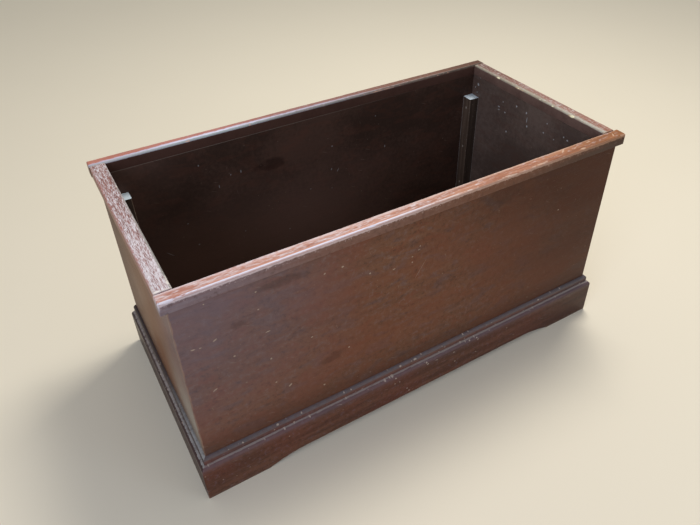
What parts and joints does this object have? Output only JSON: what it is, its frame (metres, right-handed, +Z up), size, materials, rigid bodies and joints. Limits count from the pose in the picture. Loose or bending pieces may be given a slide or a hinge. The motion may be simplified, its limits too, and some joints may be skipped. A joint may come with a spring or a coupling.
{
  "type": "toy box",
  "caption": "Open-topped rectangular wooden toy box in dark red-brown stain, with a worn rim of strips and a moulded skirting plinth; holds toys or blankets.",
  "frame": {"origin": "on the floor, under the middle of the whole box's outline", "axes": "+Z up, +X to the right along the front, front towards -Y"},
  "size_m": [0.9064, 0.4474, 0.45],
  "materials": {
    "panel": "dark mahogany stain under satin varnish, specked and scratched",
    "rim": "red-brown stain worn through to pale grain on the edges",
    "plinth": "dark mahogany stain under satin varnish, nicked along the mouldings",
    "post": "dark stain, with pale top ends",
    "cleat": "bare softwood with stain splashes",
    "bottom": "dark stained plywood, rubbed and dusty",
    "steel": "dull steel, dusty on the heads"
  },
  "bodies": {
    "root": {"front_panel": "panel", "back_panel": "panel", "left_panel": "panel", "right_panel": "panel", "front_rim_strip": "rim", "back_rim_strip": "rim", "left_rim_strip": "rim", "right_rim_strip": "rim", "front_plinth": "plinth", "left_plinth": "plinth", "right_plinth": "plinth", "front_left_post": "post", "front_right_post": "post", "back_left_post": "post", "back_right_post": "post", "front_cleat": "cleat", "back_cleat": "cleat", "left_cleat": "cleat", "right_cleat": "cleat", "bottom_board": "bottom", "post_nails": "steel", "cleat_nails": "steel", "bottom_nails": "steel", "rim_brads": "steel", "plinth_brads": "steel"}
  },
  "joints": []
}
